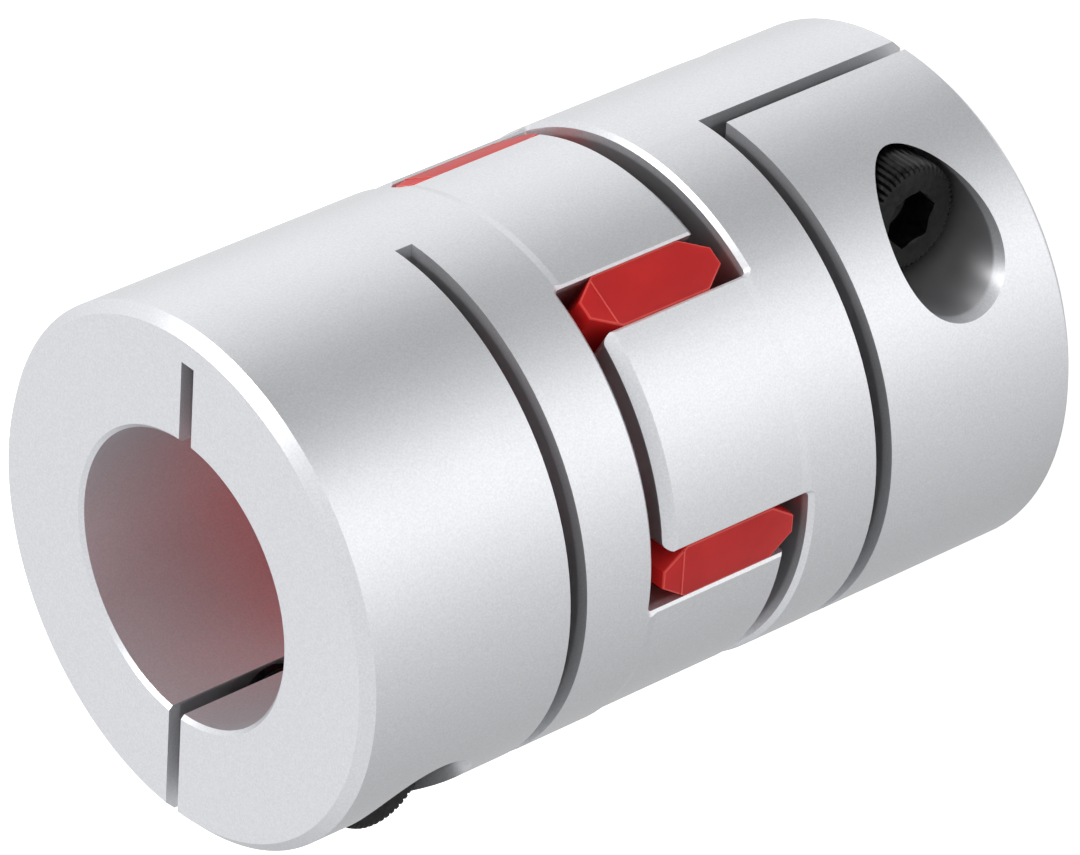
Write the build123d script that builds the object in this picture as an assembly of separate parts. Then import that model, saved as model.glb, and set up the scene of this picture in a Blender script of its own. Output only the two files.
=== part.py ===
from build123d import *
import math
import os

# Jaw coupling with an elastomer spider: two equal clamp hubs, one spider, two clamp screws.
# Millimetres. The shaft axis is +Z. The coupling stands on the lower hub's end face at z = 0.
# Both clamp screws lie along Y, with their heads on the -Y side.

# ---- coupling ----
OUTER_DIAMETER = 40.0
HUB_LENGTH = 25.5            # end face to shoulder
SHOULDER_GAP = 14.5          # between the two shoulders, where the jaws interlock
JAW_COUNT = 3                # jaws on each hub

# ---- hub body ----
BORE_DIAMETER = 22.0
BORE_CHAMFER = 0.3
END_EDGE_CHAMFER = 0.8

# ---- jaws ----
JAW_END_GAP = 1.5            # jaw end to the other hub's shoulder
JAW_INNER_DIAMETER = 24.0
JAW_RELIEF = 0.15            # the jaws are turned this much below the hub's outside
JAW_RELIEF_RAMP = 0.7        # length of the ramp at the jaw's root
JAW_END_CHAMFER = 0.75
JAW_EDGE_CHAMFER = 0.35      # round each milled space: both jaw edges and the shoulder's rim
JAW_CORNER_RADIUS = 0.6
JAW_ROOT_RADIUS = 0.4

# ---- clamp slits, sawn in each hub ----
SLIT_WIDTH = 1.3
RELIEF_SLIT_DIAMETER = 35.0  # the relief slit opposite the clamp slit stops at this diameter
SLOT_START = 17.9            # end face to the cross slot
SLOT_WIDTH = 1.5

# ---- clamp screw M5 x 16, socket head ----
THREAD_DIAMETER = 5.0
SCREW_LENGTH = 16.0
HEAD_DIAMETER = 8.5
HEAD_HEIGHT = 5.0
HEAD_EDGE_CHAMFER = 0.35
SOCKET_ACROSS_FLATS = 4.0
SOCKET_DEPTH = 2.6
SOCKET_CHAMFER = 0.25
POINT_CHAMFER = 0.6
LOWER_SCREW_BACKED_OUT = 0.0
UPPER_SCREW_BACKED_OUT = 0.75

# ---- screw seat in the hub ----
SCREW_HOLE_DIAMETER = 5.2
WALL_BESIDE_SCREW = 0.15     # between the screw hole and the bore, at the thinnest
COUNTERBORE_DIAMETER = 9.4
HEAD_CLEARANCE = 0.1         # the seated head's inner edge to the bore
SCREW_HEIGHT = 8.9           # end face to the screw's axis

# ---- spider ----
LEG_THICKNESS = 4.25         # flank to flank, as squeezed between two jaws
LEG_LENGTH = 12.0            # along the shaft axis
LEG_RECESS = 0.4             # the leg's flat outer end below the hub's outside
LEG_LEAD_IN = 2.1            # length of the leg's tapered ends
LEG_TIP_WIDTH = 1.4
LEG_RIM_CHAMFER = 0.25
RING_CLEARANCE = 0.4         # spider ring to the jaws' inner faces
RING_HOLE_DIAMETER = 13.0
RING_HOLE_CHAMFER = 0.6

# ---- worked out ----
outer_radius = OUTER_DIAMETER / 2
bore_radius = BORE_DIAMETER / 2
total_length = 2 * HUB_LENGTH + SHOULDER_GAP
jaw_length = SHOULDER_GAP - JAW_END_GAP
jaw_pitch = 360 / JAW_COUNT
leg_count = 2 * JAW_COUNT
leg_pitch = 360 / leg_count
screw_offset = bore_radius + WALL_BESIDE_SCREW + SCREW_HOLE_DIAMETER / 2
slot_end = SLOT_START + SLOT_WIDTH
head_inner_edge = screw_offset - HEAD_DIAMETER / 2
seat_y = -math.sqrt((bore_radius + HEAD_CLEARANCE) ** 2 - head_inner_edge ** 2)
ring_radius = JAW_INNER_DIAMETER / 2 - RING_CLEARANCE
leg_reach = outer_radius - LEG_RECESS
beyond = OUTER_DIAMETER      # any length that runs clear of the part


def turned(points):
    """A solid of revolution about Z from an outline of (radius, height) points."""
    outline = make_face(Polyline(*[(r, 0, z) for r, z in points], close=True))
    return revolve(outline, Axis.Z)


def hub_blank():
    """The turned blank with its bore, and a plain crown above the shoulder for the jaws."""
    height = HUB_LENGTH + jaw_length
    body = Cylinder(outer_radius, height, align=(Align.CENTER, Align.CENTER, Align.MIN))
    end_edge = body.edges().filter_by(GeomType.CIRCLE).sort_by(Axis.Z)[0]
    body = chamfer(end_edge, END_EDGE_CHAMFER)
    pocket = JAW_INNER_DIAMETER / 2
    return body - turned([
        (0, -1),
        (bore_radius + BORE_CHAMFER + 1, -1),
        (bore_radius, BORE_CHAMFER),
        (bore_radius, HUB_LENGTH - BORE_CHAMFER),
        (bore_radius + BORE_CHAMFER, HUB_LENGTH),
        (pocket, HUB_LENGTH),
        (pocket, height + 1),
        (0, height + 1),
    ])


def jaw_space(angle):
    """The milled space between two jaws: two flat flanks with round roots."""
    half = math.radians(leg_pitch / 2)
    apex = LEG_THICKNESS / 2 / math.sin(half)
    wedge = Polygon(
        (-apex, 0),
        (beyond * math.cos(half) - apex, beyond * math.sin(half)),
        (beyond * math.cos(half) - apex, -beyond * math.sin(half)),
        align=None,
    )
    space = extrude(wedge, jaw_length + 1, dir=(0, 0, 1))
    roots = space.edges().filter_by(Plane.XY).group_by(Axis.Z)[0].sort_by(Axis.X)[:2]
    space = fillet(roots, JAW_ROOT_RADIUS)
    return Pos(0, 0, HUB_LENGTH) * Rot(0, 0, angle) * space


def jaw_envelope():
    """What the turning leaves of the jaws: lower than the hub's outside, bevelled at the end."""
    low = outer_radius - JAW_RELIEF
    top = HUB_LENGTH + jaw_length
    return turned([
        (0, -1),
        (outer_radius + 1, -1),
        (outer_radius + 1, HUB_LENGTH),
        (outer_radius, HUB_LENGTH),
        (low, HUB_LENGTH + JAW_RELIEF_RAMP),
        (low, top - JAW_END_CHAMFER),
        (low - JAW_END_CHAMFER, top),
        (0, top),
    ])


def clamp_cuts():
    """Clamp slit on +X, relief slit on -X, cross slot through the -Y half."""
    clamp_slit = Pos(beyond / 2, 0, slot_end / 2 - 1) * Box(beyond, SLIT_WIDTH, slot_end + 2)
    relief = RELIEF_SLIT_DIAMETER / 2
    relief_slit = Pos(-relief / 2, 0, slot_end / 2 - 1) * Box(relief, SLIT_WIDTH, slot_end + 2)
    slot_middle = SLOT_START + SLOT_WIDTH / 2
    cross_slot = Pos(0, -beyond / 2, slot_middle) * Box(2 * beyond, beyond, SLOT_WIDTH)
    return [clamp_slit, relief_slit, cross_slot]


def along_y(radius, y_from, y_to):
    """A cylinder along +Y at the screw's place in a hub."""
    middle = Pos(screw_offset, (y_from + y_to) / 2, SCREW_HEIGHT)
    return middle * Rot(90, 0, 0) * Cylinder(radius, y_to - y_from)


def screw_cuts():
    """Counterbore and clearance hole on the head's side, tapped hole on the other."""
    counterbore = along_y(COUNTERBORE_DIAMETER / 2, -beyond, seat_y)
    clearance = along_y(SCREW_HOLE_DIAMETER / 2, seat_y - 1, 0)
    tapped = along_y(THREAD_DIAMETER / 2, 0, beyond)
    return [counterbore, clearance, tapped]


def make_hub():
    hub = hub_blank()
    for number in range(JAW_COUNT):
        hub -= jaw_space(number * jaw_pitch)
    jaw_ends = hub.edges().filter_by(GeomType.LINE).group_by(Axis.Z)[-1]
    hub = fillet(jaw_ends, JAW_CORNER_RADIUS)
    uprights = hub.edges().filter_by(GeomType.LINE).filter_by(Axis.Z)
    uprights = uprights.filter_by(lambda e: e.center().Z > HUB_LENGTH)
    outer_uprights = uprights.filter_by(lambda e: math.hypot(e.center().X, e.center().Y) > leg_reach)
    hub = chamfer(outer_uprights, JAW_EDGE_CHAMFER)
    hub &= jaw_envelope()
    for cut in clamp_cuts() + screw_cuts():
        hub -= cut
    return hub


def make_screw(backed_out):
    """Socket head cap screw in its own seat, head towards -Y."""
    head = Cylinder(HEAD_DIAMETER / 2, HEAD_HEIGHT, align=(Align.CENTER, Align.CENTER, Align.MIN))
    rim = head.edges().filter_by(GeomType.CIRCLE).sort_by(Axis.Z)[-1]
    head = chamfer(rim, HEAD_EDGE_CHAMFER)
    socket = RegularPolygon(SOCKET_ACROSS_FLATS / 2, 6, major_radius=False)
    head -= Pos(0, 0, HEAD_HEIGHT - SOCKET_DEPTH) * extrude(socket, SOCKET_DEPTH + 1)
    mouth = SOCKET_ACROSS_FLATS / 2 / math.cos(math.radians(30))
    head -= Pos(0, 0, HEAD_HEIGHT) * turned([
        (0, -SOCKET_CHAMFER),
        (mouth - SOCKET_CHAMFER, -SOCKET_CHAMFER),
        (mouth + SOCKET_CHAMFER, SOCKET_CHAMFER),
        (0, SOCKET_CHAMFER),
    ])
    shank = Cylinder(THREAD_DIAMETER / 2, SCREW_LENGTH, align=(Align.CENTER, Align.CENTER, Align.MAX))
    point = shank.edges().filter_by(GeomType.CIRCLE).sort_by(Axis.Z)[0]
    shank = chamfer(point, POINT_CHAMFER)
    screw = head + shank
    return Pos(screw_offset, seat_y - backed_out, SCREW_HEIGHT) * Rot(90, 0, 0) * screw


def leg_section():
    """A leg seen along its length: a bar with tapered ends, which lead it in between the jaws."""
    half_width = LEG_THICKNESS / 2
    half_tip = LEG_TIP_WIDTH / 2
    end = LEG_LENGTH / 2
    shoulder = end - LEG_LEAD_IN
    return Polygon(
        (half_width, -shoulder),
        (half_width, shoulder),
        (half_tip, end),
        (-half_tip, end),
        (-half_width, shoulder),
        (-half_width, -shoulder),
        (-half_tip, -end),
        (half_tip, -end),
        align=None,
    )


def leg(angle):
    """One leg, from inside the ring out to its flat end with a bevelled rim."""
    start = (RING_HOLE_DIAMETER / 2 + ring_radius) / 2
    bar = extrude(leg_section(), leg_reach - start, dir=(0, 0, 1))
    rim = bar.faces().sort_by(Axis.Z)[-1].edges()
    bar = chamfer(rim, LEG_RIM_CHAMFER)
    outwards = Plane(origin=(start, 0, 0), x_dir=(0, 1, 0), z_dir=(1, 0, 0))
    return Rot(0, 0, angle) * (outwards * bar)


def make_spider():
    half = LEG_LENGTH / 2
    hole = RING_HOLE_DIAMETER / 2
    ring = turned([
        (hole + RING_HOLE_CHAMFER, -half),
        (ring_radius, -half),
        (ring_radius, half),
        (hole + RING_HOLE_CHAMFER, half),
        (hole, half - RING_HOLE_CHAMFER),
        (hole, -half + RING_HOLE_CHAMFER),
    ])
    spider = ring
    for number in range(leg_count):
        spider += leg(leg_pitch / 2 + number * leg_pitch)
    return Pos(0, 0, total_length / 2) * spider


def to_upper(shape):
    """Turn a lower-hub piece end over end, so that it faces the lower hub."""
    return Pos(0, 0, total_length) * Rot(0, 180, 0) * shape


os.makedirs("parts", exist_ok=True)
pieces = {
    "lower_hub": make_hub(),
    "upper_hub": to_upper(make_hub()),
    "spider": make_spider(),
    "lower_clamp_screw": make_screw(LOWER_SCREW_BACKED_OUT),
    "upper_clamp_screw": to_upper(make_screw(UPPER_SCREW_BACKED_OUT)),
}
for name, piece in pieces.items():
    export_step(piece, f"parts/{name}.step")
    print(name, len(piece.solids()), "solid", round(piece.volume, 1), "mm3")
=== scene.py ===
# %% [markdown]
# # An elastomer jaw coupling, dressed for a studio picture
# This lesson finishes a shaft coupling in Blender. Two aluminium clamp hubs meet with
# interlocking jaws, a red polyurethane spider sits squeezed between the jaws, and a black
# socket head screw closes each hub on its shaft. The solids come from CAD and stay as they
# are; this file gives them real finishes, models the parts whose small detail the CAD leaves
# out, and lights them.

# %% Load the CAD frame
import math
import bmesh
import bpy
from mathutils import Matrix, Vector


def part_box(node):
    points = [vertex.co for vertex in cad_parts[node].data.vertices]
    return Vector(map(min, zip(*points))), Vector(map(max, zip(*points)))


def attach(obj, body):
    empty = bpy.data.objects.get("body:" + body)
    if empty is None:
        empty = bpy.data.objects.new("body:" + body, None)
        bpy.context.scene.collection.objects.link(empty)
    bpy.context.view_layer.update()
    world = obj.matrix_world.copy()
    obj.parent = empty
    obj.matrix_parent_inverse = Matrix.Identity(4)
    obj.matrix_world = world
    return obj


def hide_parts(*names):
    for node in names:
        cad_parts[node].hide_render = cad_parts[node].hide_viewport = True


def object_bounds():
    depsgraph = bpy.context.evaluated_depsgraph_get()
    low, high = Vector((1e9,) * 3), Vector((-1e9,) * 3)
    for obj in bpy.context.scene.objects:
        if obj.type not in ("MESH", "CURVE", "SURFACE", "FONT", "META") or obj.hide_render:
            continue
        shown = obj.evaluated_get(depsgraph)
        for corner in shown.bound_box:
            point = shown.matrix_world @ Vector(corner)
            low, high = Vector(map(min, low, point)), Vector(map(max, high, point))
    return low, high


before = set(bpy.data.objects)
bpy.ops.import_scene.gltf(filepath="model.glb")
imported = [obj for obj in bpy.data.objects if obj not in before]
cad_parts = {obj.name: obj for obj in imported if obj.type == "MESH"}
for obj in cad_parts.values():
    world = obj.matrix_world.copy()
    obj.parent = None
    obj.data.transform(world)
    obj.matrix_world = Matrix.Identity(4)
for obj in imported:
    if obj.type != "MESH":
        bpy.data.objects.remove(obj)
cad_low, cad_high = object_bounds()
print("CAD box in metres:", tuple(cad_low), tuple(cad_high))

# %% [markdown]
# Positions are read from the CAD nodes' boxes, so every new piece lands where the solid is.
# The shaft axis is +Z and the coupling stands on the lower hub's end face.

# %% Sizes read from the frame
MM = 0.001
outer_radius = (cad_high.x - cad_low.x) / 2
total_height = cad_high.z - cad_low.z
middle_height = (cad_high.z + cad_low.z) / 2
print("outside radius", round(outer_radius / MM, 2), "mm, height", round(total_height / MM, 2), "mm")

# %% [markdown]
# Paint and metal colours are easiest to think of as hex values, but Blender's sockets want
# linear light. One function does the change for every colour in the file.

# %% Colour from a hex value
def colour(hex_value):
    """sRGB hex such as "C8102E" to a linear RGBA tuple."""
    channels = []
    for start in (0, 2, 4):
        value = int(hex_value[start:start + 2], 16) / 255
        channels.append(value / 12.92 if value <= 0.04045 else ((value + 0.055) / 1.055) ** 2.4)
    return (*channels, 1.0)


print("hex 808080 in linear light:", round(colour("808080")[0], 3))

# %% [markdown]
# A material is a small graph. One helper adds a node, sets its values and makes its links,
# so that each material below reads as a list of what it is made of.

# %% One helper that adds a node
def add(tree, kind, settings=None, **inputs):
    """Add a node. settings are its properties; inputs are sockets by name, linked or set."""
    node = tree.nodes.new(kind)
    for name, value in (settings or {}).items():
        setattr(node, name, value)
    for name, value in inputs.items():
        key = int(name[1:]) if name[0] == "_" and name[1:].isdigit() else name.replace("_", " ")
        if isinstance(value, bpy.types.NodeSocket):
            tree.links.new(value, node.inputs[key])
        else:
            node.inputs[key].default_value = value
    return node


def new_material(name):
    """An empty material with its output node."""
    material = bpy.data.materials.new(name)
    material.use_nodes = True
    material.node_tree.nodes.clear()
    output = material.node_tree.nodes.new("ShaderNodeOutputMaterial")
    return material, material.node_tree, output


def per_size(millimetres):
    """Texture scale, in cycles per metre, for a feature of this size."""
    return 1000.0 / millimetres


print("a 0.2 mm grain is drawn at scale", per_size(0.2))

# %% [markdown]
# ## Hub finish: bead-blasted, clear-anodised aluminium
# The hubs are turned from aluminium bar, blasted with fine glass beads and anodised clear.
# Blasting leaves a pale satin skin made of tiny dents, about a tenth of a millimetre across,
# some of which sparkle. So the base is a bright metal with medium roughness, and a fine noise
# moves its colour, roughness and normal a little. The sparkle is painted into the base colour as
# sparse bright dots, a painted glint, and the deeper machined faces get a darker colour as painted
# shade.

# %% Sizes in the aluminium finish
BEAD_DENT = 0.16                 # mm, drawn a little coarser than real so that it shows
UNEVEN_BLAST = 9.0               # mm, slow change of sheen from one pass of the nozzle to the next
GLINT_SPACING = 0.42             # mm
ALL_BLASTED = 0.85 * MM          # depth that the beads reach in full
ALL_MILLED = 1.10 * MM           # depth that they no longer reach
BORE_RADIUS = 11.0 * MM
print("blasted to", round(ALL_BLASTED / MM, 2), "mm deep")

# %% Aluminium material
def make_aluminium():
    material, tree, output = new_material("bead_blasted_anodised_aluminium")
    place = add(tree, "ShaderNodeTexCoord").outputs["Object"]
    grain = add(
        tree, "ShaderNodeTexNoise", Vector=place,
        Scale=per_size(BEAD_DENT), Detail=2.0, Roughness=0.6)
    cloud = add(
        tree, "ShaderNodeTexNoise", Vector=place,
        Scale=per_size(UNEVEN_BLAST), Detail=3.0, Roughness=0.55)
    grain_colour = add(tree, "ShaderNodeValToRGB", Fac=grain.outputs["Fac"])
    grain_colour.color_ramp.elements[0].position = 0.32
    grain_colour.color_ramp.elements[0].color = colour("D8D9DC")
    grain_colour.color_ramp.elements[1].position = 0.68
    grain_colour.color_ramp.elements[1].color = colour("E4E5E8")
    # painted glint: a bright dot of base colour sits at the centre of a few of the cells, about one
    # in seven
    glint_cells = add(tree, "ShaderNodeTexVoronoi", Vector=place, Scale=per_size(GLINT_SPACING))
    is_glint_spot = add(
        tree, "ShaderNodeMapRange", Value=glint_cells.outputs["Distance"],
        _1=0.05, _2=0.13, _3=1.0, _4=0.0)
    chosen = add(tree, "ShaderNodeSeparateColor", Color=glint_cells.outputs["Color"])
    rare = add(
        tree, "ShaderNodeMath", {"operation": "GREATER_THAN"},
        _0=chosen.outputs["Red"], _1=0.86)
    spark = add(
        tree, "ShaderNodeMath", {"operation": "MULTIPLY"},
        _0=is_glint_spot.outputs["Result"], _1=rare.outputs["Value"])
    grain_and_painted_glints = add(tree, "ShaderNodeMix", {"data_type": "RGBA"}, Factor=spark.outputs["Value"])
    tree.links.new(grain_colour.outputs["Color"], grain_and_painted_glints.inputs[6])
    grain_and_painted_glints.inputs[7].default_value = colour("F6F6F8")
    # The beads reach the outside, the end faces, the bore and the mouths of the slots. What
    # lies deeper is machined or sawn metal, smoother and more mirror-like. Its darker base colour
    # there is painted shade for the recessed faces.
    across = add(
        tree, "ShaderNodeVectorMath", {"operation": "MULTIPLY"},
        _0=place, _1=(1.0, 1.0, 0.0))
    radius = add(
        tree, "ShaderNodeVectorMath", {"operation": "LENGTH"}, _0=across.outputs["Vector"])
    deep = add(
        tree, "ShaderNodeMapRange", Value=radius.outputs["Value"],
        _1=outer_radius - ALL_MILLED, _2=outer_radius - ALL_BLASTED, _3=1.0, _4=0.0)
    height = add(tree, "ShaderNodeSeparateXYZ", Vector=place).outputs["Z"]
    from_middle = add(
        tree, "ShaderNodeMath", {"operation": "SUBTRACT"}, _0=height, _1=middle_height)
    off_middle = add(
        tree, "ShaderNodeMath", {"operation": "ABSOLUTE"}, _0=from_middle.outputs["Value"])
    below_face = add(
        tree, "ShaderNodeMapRange", Value=off_middle.outputs["Value"],
        _1=total_height / 2 - ALL_MILLED, _2=total_height / 2 - ALL_BLASTED, _3=1.0, _4=0.0)
    machined = add(
        tree, "ShaderNodeMath", {"operation": "MULTIPLY"},
        _0=deep.outputs["Result"], _1=below_face.outputs["Result"])
    bore = add(
        tree, "ShaderNodeMapRange", Value=radius.outputs["Value"],
        _1=BORE_RADIUS + 0.1 * MM, _2=BORE_RADIUS + 0.25 * MM, _3=1.0, _4=0.0)
    not_bore = add(
        tree, "ShaderNodeMath", {"operation": "SUBTRACT"}, _0=1.0, _1=bore.outputs["Result"])
    milled_and_painted_shade = add(
        tree, "ShaderNodeMath", {"operation": "MULTIPLY"},
        _0=machined.outputs["Value"], _1=not_bore.outputs["Value"])
    skin_rough = add(
        tree, "ShaderNodeMapRange", Value=cloud.outputs["Fac"],
        _1=0.3, _2=0.7, _3=0.33, _4=0.38)
    rough = add(
        tree, "ShaderNodeMapRange", Value=milled_and_painted_shade.outputs["Value"],
        _1=0.0, _2=1.0, _3=skin_rough.outputs["Result"], _4=0.28)
    # the clear oxide over the blasted skin scatters a quarter of the light, so it is less metal
    metal = add(
        tree, "ShaderNodeMapRange", Value=milled_and_painted_shade.outputs["Value"], _1=0.0, _2=1.0, _3=0.75, _4=0.88)
    # painted shade: the recessed machined faces get the darker base colour CBCBCD
    skin = add(tree, "ShaderNodeMix", {"data_type": "RGBA"}, Factor=milled_and_painted_shade.outputs["Value"])
    tree.links.new(grain_and_painted_glints.outputs[2], skin.inputs[6])
    skin.inputs[7].default_value = colour("CBCBCD")
    dents = add(
        tree, "ShaderNodeBump", Strength=0.06, Distance=0.02 * MM, Height=grain.outputs["Fac"])
    shader = add(
        tree, "ShaderNodeBsdfPrincipled",
        Base_Color=skin.outputs[2], Metallic=metal.outputs["Result"],
        Roughness=rough.outputs["Result"], Normal=dents.outputs["Normal"],
    )
    tree.links.new(shader.outputs["BSDF"], output.inputs["Surface"])
    return material


aluminium = make_aluminium()
for node in ("lower_hub", "upper_hub"):
    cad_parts[node].material_slots[0].material = aluminium
print("hubs finished in", aluminium.name)

# %% [markdown]
# ## Spider finish: red cast polyurethane
# The spider is moulded polyurethane rubber, hard enough to carry the jaws' load. It looks like
# satin plastic with some depth: red light travels a few millimetres through it, so a leg glows
# a little on its shaded ends. The bevelled rims at the legs' ends and the mould seam get a paler,
# a little glossier red, which is a painted edge highlight and the second of the two finishes.

# %% Polyurethane material
def make_polyurethane(name, dark, light, roughness):
    material, tree, output = new_material(name)
    place = add(tree, "ShaderNodeTexCoord").outputs["Object"]
    cloud = add(
        tree, "ShaderNodeTexNoise", Vector=place,
        Scale=per_size(4.0), Detail=3.0, Roughness=0.6)
    tone = add(tree, "ShaderNodeValToRGB", Fac=cloud.outputs["Fac"])
    tone.color_ramp.elements[0].position = 0.3
    tone.color_ramp.elements[0].color = colour(dark)
    tone.color_ramp.elements[1].position = 0.7
    tone.color_ramp.elements[1].color = colour(light)
    skin = add(
        tree, "ShaderNodeTexNoise", Vector=place,
        Scale=per_size(0.25), Detail=3.0, Roughness=0.6)
    bump = add(
        tree, "ShaderNodeBump", Strength=0.12, Distance=0.03 * MM, Height=skin.outputs["Fac"])
    shader = add(
        tree, "ShaderNodeBsdfPrincipled",
        Base_Color=tone.outputs["Color"], Normal=bump.outputs["Normal"],
        Roughness=roughness, IOR=1.5, Specular_IOR_Level=0.28,
        Subsurface_Weight=0.45, Subsurface_Scale=1.0,
        Subsurface_Radius=(4.0 * MM, 0.4 * MM, 0.3 * MM),
    )
    tree.links.new(shader.outputs["BSDF"], output.inputs["Surface"])
    return material


polyurethane = make_polyurethane("moulded_red_polyurethane", "B01516", "BE1D1B", 0.42)
# painted highlight: a paler red for the legs' rim bevels and mould seam
highlight_polyurethane = make_polyurethane("red_polyurethane_painted_edge_highlight", "CE3F3A", "D94F48", 0.34)
print("spider finishes:", polyurethane.name, "and", highlight_polyurethane.name)

# %% [markdown]
# ## Screw finish: black oxide on alloy steel
# High-strength socket head screws are chemically blackened and oiled. The layer is very thin,
# so the steel stays a dark metal with a low sheen, mottled where the bath took unevenly.

# %% Black oxide material
def make_black_oxide():
    material, tree, output = new_material("black_oxide_alloy_steel")
    place = add(tree, "ShaderNodeTexCoord").outputs["Object"]
    mottle = add(
        tree, "ShaderNodeTexNoise", Vector=place,
        Scale=per_size(0.5), Detail=4.0, Roughness=0.6)
    tone = add(tree, "ShaderNodeValToRGB", Fac=mottle.outputs["Fac"])
    tone.color_ramp.elements[0].position = 0.35
    tone.color_ramp.elements[0].color = colour("1C1C1D")
    tone.color_ramp.elements[1].position = 0.75
    tone.color_ramp.elements[1].color = colour("343333")
    rough = add(
        tree, "ShaderNodeMapRange", Value=mottle.outputs["Fac"],
        _1=0.3, _2=0.7, _3=0.32, _4=0.5)
    bump = add(
        tree, "ShaderNodeBump", Strength=0.15, Distance=0.03 * MM, Height=mottle.outputs["Fac"])
    shader = add(
        tree, "ShaderNodeBsdfPrincipled",
        Base_Color=tone.outputs["Color"], Metallic=0.85, Roughness=rough.outputs["Result"],
        Normal=bump.outputs["Normal"],
    )
    tree.links.new(shader.outputs["BSDF"], output.inputs["Surface"])
    return material


black_oxide = make_black_oxide()
print("screw finish:", black_oxide.name)

# %% [markdown]
# ## Clamp screws: M5 socket head cap screws
# The CAD screw has a plain head and a plain shank. A real one has a knurled head to grip with
# the fingers, a hexagon socket broached down to a drilled cone, and a rolled M5 thread, 0.8 mm
# from crest to crest. The head is a ring of points extruded upwards: at each step the ring is
# resized, and where the knurl runs every fourth point is pulled in to make a groove.
#
# An operator acts on whatever is selected. So the tools below first leave nothing selected, and
# then pick points or faces by where they are or which way they face.

# %% Tools for editing by place
SAME_PLACE = 1e-6                # metres: two points nearer than this are in one place


def start_clean():
    """Leave edit mode and select nothing, so that the next operator touches one piece only."""
    if bpy.context.object and bpy.context.object.mode != "OBJECT":
        bpy.ops.object.mode_set(mode="OBJECT")
    bpy.ops.object.select_all(action="DESELECT")


def use_only(piece):
    start_clean()
    piece.select_set(True)
    bpy.context.view_layer.objects.active = piece


def select_points(piece, wanted):
    """In edit mode, select the points whose place wanted(place) is true for."""
    mesh = bmesh.from_edit_mesh(piece.data)
    mesh.select_mode = {"VERT"}
    for vert in mesh.verts:
        vert.select = False
    for vert in mesh.verts:
        vert.select = bool(wanted(vert.co))
    mesh.select_flush_mode()
    bmesh.update_edit_mesh(piece.data)


def select_faces(piece, wanted):
    """In edit mode, select the faces that wanted(centre, normal) is true for, and count them."""
    mesh = bmesh.from_edit_mesh(piece.data)
    mesh.select_mode = {"FACE"}
    for face in mesh.faces:
        face.select_set(bool(wanted(face.calc_center_median(), face.normal)))
    mesh.select_flush_mode()
    bmesh.update_edit_mesh(piece.data)
    return sum(face.select for face in mesh.faces)


def apply_all_modifiers(piece):
    use_only(piece)
    for modifier in list(piece.modifiers):
        bpy.ops.object.modifier_apply(modifier=modifier.name)


def combine(piece, tool, operation="DIFFERENCE"):
    """One Boolean with a second piece, which is then thrown away."""
    boolean = piece.modifiers.new("cut", "BOOLEAN")
    boolean.operation = operation
    boolean.solver = "EXACT"
    boolean.object = tool
    apply_all_modifiers(piece)
    bpy.data.objects.remove(tool, do_unlink=True)


print("editing tools ready")

# %% Screw sizes
HEAD_RADIUS = 4.25 * MM
HEAD_HEIGHT = 5.0 * MM
HEAD_EDGE = 0.12 * MM            # bevel under the head
RIDGES = 52                      # knurl ridges round the head, about 0.5 mm apart
GROOVE = 0.11 * MM               # depth of a knurl groove
SOCKET_FLATS = 4.0 * MM
SOCKET_DEPTH = 2.6 * MM
THREAD_RADIUS = 2.48 * MM
PITCH = 0.8 * MM
CORE_RADIUS = 2.02 * MM
SHANK_LENGTH = 16.0 * MM
POINT = 0.6 * MM                 # bevel at the screw's point
print("knurl spacing", round(2 * math.pi * HEAD_RADIUS / RIDGES / MM, 2), "mm")

# %% Knurled head
def knurled_head():
    """The head stands on z = 0 and its top is at HEAD_HEIGHT."""
    start_clean()
    bpy.ops.mesh.primitive_circle_add(
        vertices=RIDGES * 4, radius=HEAD_RADIUS - HEAD_EDGE, fill_type="NGON")
    head = bpy.context.object
    bpy.ops.object.mode_set(mode="EDIT")
    bpy.ops.mesh.select_all(action="SELECT")
    steps = [
        # height in mm, how far the ring is drawn in, and whether it carries grooves
        (0.12, 0.00, False), (0.30, 0.00, False), (0.42, 0.00, True),
        (4.30, 0.00, True), (4.42, 0.02, False), (4.62, 0.05, False),
        (4.84, 0.16, False), (4.96, 0.34, False), (5.00, 0.55, False),
    ]
    last_height, last_radius = 0.0, HEAD_RADIUS - HEAD_EDGE
    for height, drawn_in, grooved in steps:
        radius = HEAD_RADIUS - drawn_in * MM
        rise = (height * MM) - last_height
        bpy.ops.mesh.extrude_region_move(TRANSFORM_OT_translate={"value": (0, 0, rise)})
        factor = radius / last_radius
        bpy.ops.transform.resize(value=(factor, factor, 1), center_override=(0, 0, height * MM))
        last_height, last_radius = height * MM, radius
        if grooved:
            groove_ring(head, height * MM, radius)
            select_points(head, lambda place: abs(place.z - height * MM) < SAME_PLACE)
    bpy.ops.object.mode_set(mode="OBJECT")
    return head


def groove_ring(head, height, radius):
    """Draw in one point of every four at this height, to the bottom of its groove."""
    step = 2 * math.pi / RIDGES

    def in_groove(place):
        turn = math.atan2(place.y, place.x) / step
        return abs(place.z - height) < SAME_PLACE and abs(turn - round(turn)) < 0.1

    select_points(head, in_groove)
    factor = (radius - GROOVE) / radius
    bpy.ops.transform.resize(value=(factor, factor, 1), center_override=(0, 0, height))


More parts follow.
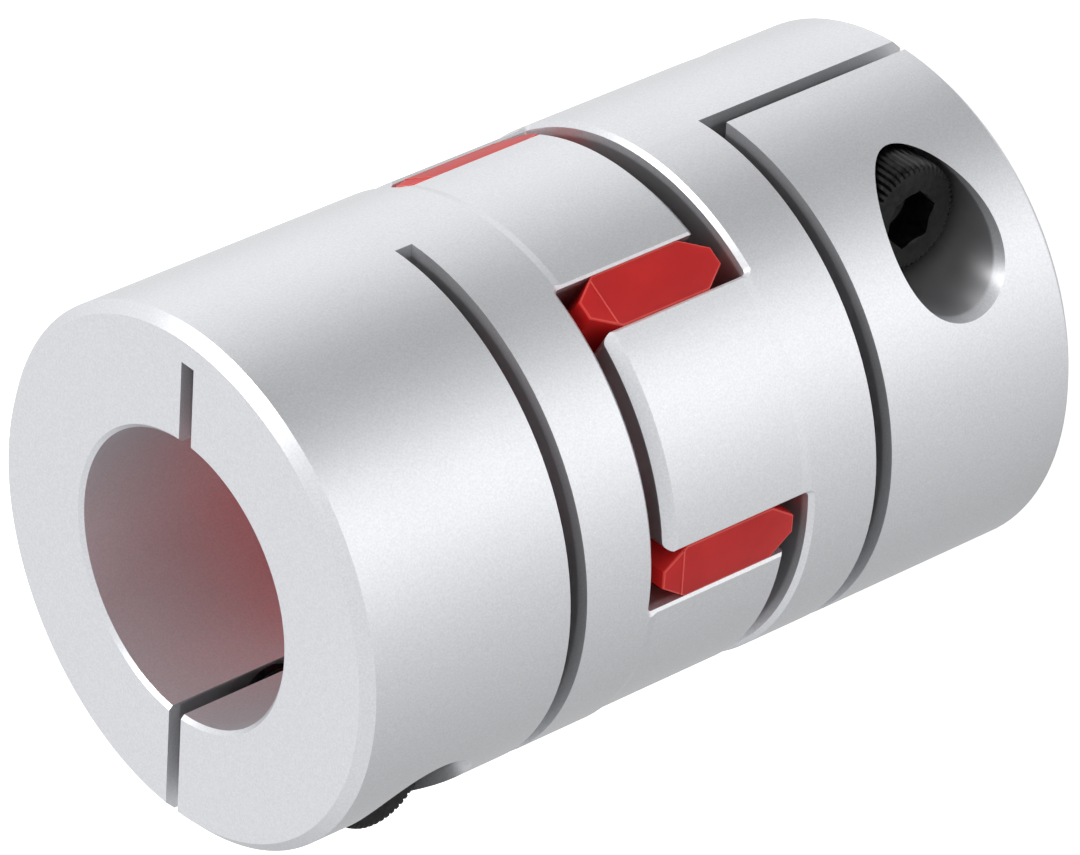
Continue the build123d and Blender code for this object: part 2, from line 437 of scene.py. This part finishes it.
def broach_socket(head):
    """Hexagon socket with a bevelled mouth and a drilled cone at its bottom."""
    across_corners = SOCKET_FLATS / math.cos(math.radians(30))
    start_clean()
    bpy.ops.mesh.primitive_cylinder_add(
        vertices=6, radius=across_corners / 2, depth=2 * SOCKET_DEPTH, location=(0, 0, HEAD_HEIGHT))
    combine(head, bpy.context.object)
    start_clean()
    mouth = SOCKET_FLATS / 2 + 0.13 * MM
    bpy.ops.mesh.primitive_cone_add(
        vertices=48, radius1=mouth - 0.4 * MM, radius2=mouth + 0.6 * MM, depth=1.0 * MM,
        location=(0, 0, HEAD_HEIGHT + 0.1 * MM))
    combine(head, bpy.context.object)
    start_clean()
    bpy.ops.mesh.primitive_cone_add(
        vertices=48, radius1=0.0, radius2=SOCKET_FLATS / 2 - 0.02 * MM, depth=1.1 * MM,
        location=(0, 0, HEAD_HEIGHT - SOCKET_DEPTH - 0.5 * MM))
    combine(head, bpy.context.object)


screw_head = knurled_head()
broach_socket(screw_head)
print("head:", len(screw_head.data.polygons), "faces")

# %% [markdown]
# The thread is one tooth's outline turned about the axis while it climbs. The Screw modifier
# does that. Both ends are closed, and the result is trimmed to length by keeping only what lies
# inside a bevelled pin, as a thread rolled on a pointed blank would.

# %% Rolled thread
def threaded_shank():
    """M5 thread from z = 0 down to the point."""
    turns = int(SHANK_LENGTH / PITCH) + 3
    tooth = [
        # radius, and height in mm within one pitch: root, crest and root again
        (CORE_RADIUS, 0.0), (CORE_RADIUS, 0.10), (THREAD_RADIUS, 0.37),
        (THREAD_RADIUS, 0.47), (CORE_RADIUS, 0.74), (CORE_RADIUS, PITCH / MM),
    ]
    start_clean()
    bpy.ops.mesh.primitive_plane_add(size=1 * MM, location=(0, 0, 0))
    shank = bpy.context.object
    bpy.ops.object.mode_set(mode="EDIT")
    bpy.ops.mesh.select_all(action="SELECT")
    bpy.ops.mesh.merge(type="CENTER")
    bottom = -SHANK_LENGTH - 1.2 * MM
    bpy.ops.transform.translate(value=(tooth[0][0], 0, bottom))
    for (r0, z0), (r1, z1) in zip(tooth, tooth[1:]):
        bpy.ops.mesh.extrude_region_move(
            TRANSFORM_OT_translate={"value": (r1 - r0, 0, (z1 - z0) * MM)})
    bpy.ops.object.mode_set(mode="OBJECT")
    climb = shank.modifiers.new("climb", "SCREW")
    climb.axis = "Z"
    climb.angle = 2 * math.pi
    climb.screw_offset = PITCH
    climb.iterations = turns
    climb.steps = 32
    climb.render_steps = 32
    climb.use_merge_vertices = True
    climb.merge_threshold = SAME_PLACE
    apply_all_modifiers(shank)
    bpy.ops.object.mode_set(mode="EDIT")
    bpy.ops.mesh.select_all(action="SELECT")
    bpy.ops.mesh.remove_doubles(threshold=2e-6)
    bpy.ops.mesh.select_all(action="DESELECT")
    bpy.ops.mesh.select_mode(type="EDGE")
    bpy.ops.mesh.select_non_manifold(extend=False)
    bpy.ops.mesh.fill()
    bpy.ops.mesh.select_all(action="SELECT")
    bpy.ops.mesh.normals_make_consistent(inside=False)
    bpy.ops.object.mode_set(mode="OBJECT")
    return shank


def pin_blank():
    """The pointed pin that the thread is kept inside."""
    start_clean()
    bpy.ops.mesh.primitive_circle_add(
        vertices=64, radius=THREAD_RADIUS - POINT, fill_type="NGON",
        location=(0, 0, -SHANK_LENGTH))
    pin = bpy.context.object
    bpy.ops.object.transform_apply(location=True, rotation=True, scale=True)
    bpy.ops.object.mode_set(mode="EDIT")
    bpy.ops.mesh.select_all(action="SELECT")
    bpy.ops.mesh.extrude_region_move(TRANSFORM_OT_translate={"value": (0, 0, POINT)})
    factor = (THREAD_RADIUS + 0.03 * MM) / (THREAD_RADIUS - POINT)
    bpy.ops.transform.resize(value=(factor, factor, 1), center_override=(0, 0, 0))
    into_head = 0.3 * MM
    bpy.ops.mesh.extrude_region_move(
        TRANSFORM_OT_translate={"value": (0, 0, SHANK_LENGTH - POINT + into_head)})
    bpy.ops.mesh.select_all(action="SELECT")
    bpy.ops.mesh.normals_make_consistent(inside=False)
    bpy.ops.object.mode_set(mode="OBJECT")
    return pin


screw_shank = threaded_shank()
combine(screw_shank, pin_blank(), "INTERSECT")
heights = [vert.co.z / MM for vert in screw_shank.data.vertices]
print("shank:", len(screw_shank.data.polygons), "faces, z from",
      round(min(heights), 2), "to", round(max(heights), 2), "mm")

# %% Join head and shank
combine(screw_head, screw_shank, "UNION")
use_only(screw_head)
bpy.ops.object.shade_smooth_by_angle(angle=math.radians(28))
print("whole screw:", len(screw_head.data.polygons), "faces")

# %% [markdown]
# Each screw is a copy of that pattern, with its own mesh. It lies along Y with its head towards
# -Y, in the box of its CAD node. No two screws stop at the same angle, so each is turned a
# little differently.

# %% Place both screws
def place_screw(name, node, turn_degrees):
    """Put a copy of the screw where the CAD screw is, turned on its own axis."""
    low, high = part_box(node)
    screw = bpy.data.objects.new(name, screw_head.data.copy())
    bpy.context.scene.collection.objects.link(screw)
    spin = Matrix.Rotation(math.radians(turn_degrees), 4, "Z")
    lie_down = Matrix.Rotation(math.radians(90), 4, "X")
    seat = Vector(((low[0] + high[0]) / 2, low[1] + HEAD_HEIGHT, (low[2] + high[2]) / 2))
    screw.matrix_world = Matrix.Translation(seat) @ lie_down @ spin
    use_only(screw)
    bpy.ops.object.transform_apply(location=True, rotation=True, scale=True)
    screw.data.materials.clear()
    screw.data.materials.append(black_oxide)
    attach(screw, "root")
    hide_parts(node)


place_screw("lower_socket_head_screw", "lower_clamp_screw", 14)
place_screw("upper_socket_head_screw", "upper_clamp_screw", 40)
bpy.data.objects.remove(screw_head, do_unlink=True)
print("two screws placed")

# %% [markdown]
# ## The table it stands on
# A wide white table. The camera sees it as paper white with only the soft shadow left on it,
# because a share of its light to the camera is its own. Everything else sees a plain matt white.

# %% Floor
def make_floor_paper():
    material, tree, output = new_material("matt_white_paper")
    path = add(tree, "ShaderNodeLightPath")
    matt = add(tree, "ShaderNodeBsdfDiffuse", Color=colour("EDEDED"))
    glow = add(tree, "ShaderNodeEmission", Color=(1, 1, 1, 1), Strength=0.62)
    seen = add(tree, "ShaderNodeAddShader", _0=matt.outputs["BSDF"], _1=glow.outputs["Emission"])
    pick = add(tree, "ShaderNodeMixShader", _0=path.outputs["Is Camera Ray"])
    tree.links.new(matt.outputs["BSDF"], pick.inputs[1])
    tree.links.new(seen.outputs["Shader"], pick.inputs[2])
    tree.links.new(pick.outputs["Shader"], output.inputs["Surface"])
    return material


start_clean()
bpy.ops.mesh.primitive_plane_add(size=6.0, location=(0, 0, 0))
floor = bpy.context.object
floor.name = "table_top"
floor.data.materials.append(make_floor_paper())
floor.visible_glossy = False
print("floor:", floor.name)

# %% [markdown]
# ## Studio light
# Satin metal shows what stands around it, blurred. A studio gives a round part its form with a
# ring of white and grey cards: a bright band facing the camera, a dim one beside it, and a
# slow fall to grey on the far side. The world here is that ring of cards, drawn as a ramp over
# the compass direction, with an even white ceiling above it.

# %% World: a ring of cards under an even ceiling
CARDS = [
    # compass direction in degrees from +X towards +Y, and brightness
    (-180, 0.44), (-150, 0.53), (-125, 0.67), (-100, 0.86), (-80, 1.22), (-57, 1.66),
    (-40, 1.30), (-27, 0.78), (-12, 0.37), (3, 0.25), (16, 0.36), (33, 0.80),
    (55, 1.12), (78, 1.10), (93, 0.86), (105, 0.70), (125, 0.90), (150, 0.53), (180, 0.44),
]
CEILING = 0.86                   # brightness overhead, a touch blue


def make_world():
    world = bpy.data.worlds.new("studio_cards")
    bpy.context.scene.world = world
    world.use_nodes = True
    tree = world.node_tree
    tree.nodes.clear()
    output = tree.nodes.new("ShaderNodeOutputWorld")
    way = add(tree, "ShaderNodeTexCoord").outputs["Generated"]
    compass = add(tree, "ShaderNodeTexGradient", {"gradient_type": "RADIAL"}, Vector=way)
    ring = add(tree, "ShaderNodeValToRGB", Fac=compass.outputs["Fac"])
    ring.color_ramp.interpolation = "B_SPLINE"
    while len(ring.color_ramp.elements) < len(CARDS):
        ring.color_ramp.elements.new(0.5)
    brightest = max(level for degrees, level in CARDS)
    for stop, (degrees, level) in zip(ring.color_ramp.elements, CARDS):
        stop.position = degrees / 360 + 0.5
        stop.color = (level / brightest, level / brightest, level / brightest, 1)
    height = add(tree, "ShaderNodeSeparateXYZ", Vector=way)
    above = add(
        tree, "ShaderNodeMapRange", {"interpolation_type": "SMOOTHSTEP"},
        Value=height.outputs["Z"], _1=-0.15, _2=0.35, _3=0.0, _4=1.0,
    )
    sky = add(tree, "ShaderNodeMix", {"data_type": "RGBA"}, Factor=above.outputs["Result"])
    tree.links.new(ring.outputs["Color"], sky.inputs[6])
    ceiling = CEILING / brightest
    sky.inputs[7].default_value = (ceiling, ceiling * 1.005, ceiling * 1.02, 1)
    light = add(tree, "ShaderNodeBackground", Color=sky.outputs[2], Strength=brightest)
    tree.links.new(light.outputs["Background"], output.inputs["Surface"])


make_world()
print("world with", len(CARDS), "cards")

# %% [markdown]
# ## Spider: one moulding of ring and six legs
# The CAD spider has the right outline but knife-sharp edges. A moulding has a small radius
# everywhere and a fine seam where the two halves of the mould met; here the leg ends' rim bevels
# and the seam are given a paler red as a painted edge highlight. So it is modelled again at the
# same size: the ring is a circle of points extruded round its section, and a leg is a bar drawn
# out to two narrow ends.

# %% Spider sizes
LEG_WIDTH = 4.25 * MM
LEG_TIP = 1.4 * MM
LEG_LENGTH = 12.0 * MM
LEG_TAPER = 2.1 * MM
LEG_REACH = outer_radius - 0.4 * MM
LEG_START = 9.0 * MM
RING_OUTSIDE = 11.6 * MM
RING_HOLE = 6.5 * MM
SEAM_HEIGHT = 4.25 * MM          # mould seam, up from the middle of the leg
SEAM_WIDTH = 0.11 * MM
SEAM_RISE = 0.05 * MM
RIM_BEVEL = 0.14 * MM
print("a leg is", round(LEG_WIDTH / MM, 2), "mm wide, out to", round(LEG_REACH / MM, 2), "mm")

# %% Ring of the spider
def ring_body():
    """Extrude a circle of points round the ring's section and close it on itself."""
    half = LEG_LENGTH / 2
    outer_bevel = 0.3 * MM
    hole_bevel = 0.6 * MM
    section = [
        (RING_HOLE + hole_bevel, -half),
        (RING_OUTSIDE - outer_bevel, -half),
        (RING_OUTSIDE, -half + outer_bevel),
        (RING_OUTSIDE, half - outer_bevel),
        (RING_OUTSIDE - outer_bevel, half),
        (RING_HOLE + hole_bevel, half),
        (RING_HOLE, half - hole_bevel),
        (RING_HOLE, -half + hole_bevel),
        (RING_HOLE + hole_bevel, -half),
    ]
    start_clean()
    bpy.ops.mesh.primitive_circle_add(vertices=120, radius=section[0][0], location=(0, 0, 0))
    ring = bpy.context.object
    bpy.ops.object.mode_set(mode="EDIT")
    bpy.ops.mesh.select_all(action="SELECT")
    bpy.ops.transform.translate(value=(0, 0, section[0][1]))
    for (r0, z0), (r1, z1) in zip(section, section[1:]):
        bpy.ops.mesh.extrude_region_move(TRANSFORM_OT_translate={"value": (0, 0, z1 - z0)})
        bpy.ops.transform.resize(value=(r1 / r0, r1 / r0, 1), center_override=(0, 0, 0))
    bpy.ops.mesh.select_all(action="SELECT")
    bpy.ops.mesh.remove_doubles(threshold=2e-6)
    bpy.ops.mesh.normals_make_consistent(inside=False)
    bpy.ops.object.mode_set(mode="OBJECT")
    return ring


spider = ring_body()
print("ring:", len(spider.data.polygons), "faces")

# %% One leg
def leg_bar():
    """A leg along +X: a bar with tapered ends, a bevelled rim and the mould's seam."""
    half = LEG_LENGTH / 2
    start_clean()
    bpy.ops.mesh.primitive_cube_add(size=1, location=((LEG_START + LEG_REACH) / 2, 0, 0))
    leg = bpy.context.object
    leg.scale = (LEG_REACH - LEG_START, LEG_WIDTH, LEG_LENGTH - 2 * LEG_TAPER)
    bpy.ops.object.transform_apply(location=True, rotation=True, scale=True)
    leg.data.materials.append(polyurethane)
    leg.data.materials.append(highlight_polyurethane)
    bpy.ops.object.mode_set(mode="EDIT")
    for side in (1, -1):
        select_faces(leg, lambda centre, normal: normal.z * side > 0.9)
        bpy.ops.mesh.extrude_region_move(
            TRANSFORM_OT_translate={"value": (0, 0, side * LEG_TAPER)})
        bpy.ops.transform.resize(
            value=(1, LEG_TIP / LEG_WIDTH, 1), center_override=(0, 0, side * half))
    for height in (SEAM_HEIGHT - SEAM_WIDTH / 2, SEAM_HEIGHT + SEAM_WIDTH / 2):
        bpy.ops.mesh.select_all(action="SELECT")
        bpy.ops.mesh.bisect(plane_co=(0, 0, height), plane_no=(0, 0, 1))
    select_points(leg, lambda place: place.x > LEG_REACH - SAME_PLACE)
    bpy.ops.mesh.select_mode(type="FACE")
    bpy.ops.mesh.region_to_loop()
    bpy.ops.mesh.bevel(
        offset=RIM_BEVEL, offset_type="OFFSET", segments=2, profile=0.6, affect="EDGES")
    raised = select_faces(
        leg, lambda centre, normal:
        normal.x > 0.9 and abs(centre.z - SEAM_HEIGHT) < SEAM_WIDTH * 0.45)
    bpy.ops.mesh.extrude_region_move(TRANSFORM_OT_translate={"value": (SEAM_RISE, 0, 0)})
    bpy.ops.object.mode_set(mode="OBJECT")
    # painted highlight: rim bevel and seam faces take the paler second finish
    for face in leg.data.polygons:
        on_rim = face.center.x > LEG_REACH - 0.2 * MM and 0.15 < face.normal.x < 0.97
        on_end = face.center.x > LEG_REACH - SAME_PLACE
        on_seam = on_end and abs(face.center.z - SEAM_HEIGHT) < SEAM_WIDTH
        face.material_index = 1 if on_rim or on_seam else 0
    print("leg:", len(leg.data.polygons), "faces,", raised, "seam face")
    return leg


leg_pattern = leg_bar()

# %% Join the six legs to the ring
spider.data.materials.append(polyurethane)
spider.data.materials.append(highlight_polyurethane)
for number in range(6):
    leg = bpy.data.objects.new("leg", leg_pattern.data.copy())
    bpy.context.scene.collection.objects.link(leg)
    leg.rotation_euler = (0, 0, math.radians(30 + 60 * number))
    bpy.context.view_layer.update()
    combine(spider, leg, "UNION")
bpy.data.objects.remove(leg_pattern, do_unlink=True)
spider.name = "red_spider"
spider.location = (0, 0, middle_height)
use_only(spider)
bpy.ops.object.transform_apply(location=True, rotation=True, scale=True)
bpy.ops.object.shade_smooth_by_angle(angle=math.radians(32))
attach(spider, "root")
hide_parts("spider")
print("spider:", len(spider.data.polygons), "faces in", len(spider.data.materials), "finishes")

# %% [markdown]
# ## Lamps
# One large soft lamp above gives the floor its shadow and the red rubber its modelling.

# %% Overhead softbox
def softbox(name, place, aim, size, watts):
    lamp = bpy.data.lights.new(name, "AREA")
    lamp.shape = "DISK"
    lamp.size = size
    lamp.energy = watts
    holder = bpy.data.objects.new(name, lamp)
    bpy.context.scene.collection.objects.link(holder)
    holder.location = place
    holder.rotation_mode = "QUATERNION"
    holder.rotation_quaternion = (Vector(aim) - Vector(place)).to_track_quat("-Z", "Y")
    holder.visible_camera = False


softbox("key_softbox", place=(0.50, 0.30, 0.62), aim=(0, 0, middle_height), size=0.45, watts=3.0)
print("lamp added")

# %% [markdown]
# The bore is deep, so a snooted lamp straight above shines down it. It lights the red ring at
# the bottom, and the ring's colour comes back up the satin wall of the bore.

# %% Snoot down the bore
def bore_snoot(height, watts):
    lamp = bpy.data.lights.new("bore_snoot", "SPOT")
    lamp.energy = watts
    lamp.shadow_soft_size = 0.0005
    beam_radius = BORE_RADIUS - 0.4 * MM
    lamp.spot_size = 2 * math.atan(beam_radius / (height - total_height))
    lamp.spot_blend = 0.25
    holder = bpy.data.objects.new("bore_snoot", lamp)
    bpy.context.scene.collection.objects.link(holder)
    holder.location = (0, 0, height)


bore_snoot(height=0.75, watts=27.0)
print("snoot added")

# %% [markdown]
# ## Camera
# A long lens from the front right and above, rolled so that the shaft runs across the picture.

# %% Camera
def make_camera():
    data = bpy.data.cameras.new("camera")
    data.lens = 262.2
    data.sensor_width = 36.0
    data.clip_start = 0.01
    data.clip_end = 20.0
    camera = bpy.data.objects.new("camera", data)
    bpy.context.scene.collection.objects.link(camera)
    right = Vector((0.05512, -0.64981, -0.75810)).normalized()
    back = Vector((0.55397, -0.61178, 0.56466)).normalized()
    up = back.cross(right).normalized()
    right = up.cross(back)
    turn = Matrix((right, up, back)).transposed()
    camera.matrix_world = Matrix.Translation((0.3069, -0.3391, 0.3461)) @ turn.to_4x4()
    bpy.context.scene.camera = camera
    return camera


camera = make_camera()
bpy.context.scene.view_settings.view_transform = "Standard"
print("camera at", tuple(round(v, 4) for v in camera.location))
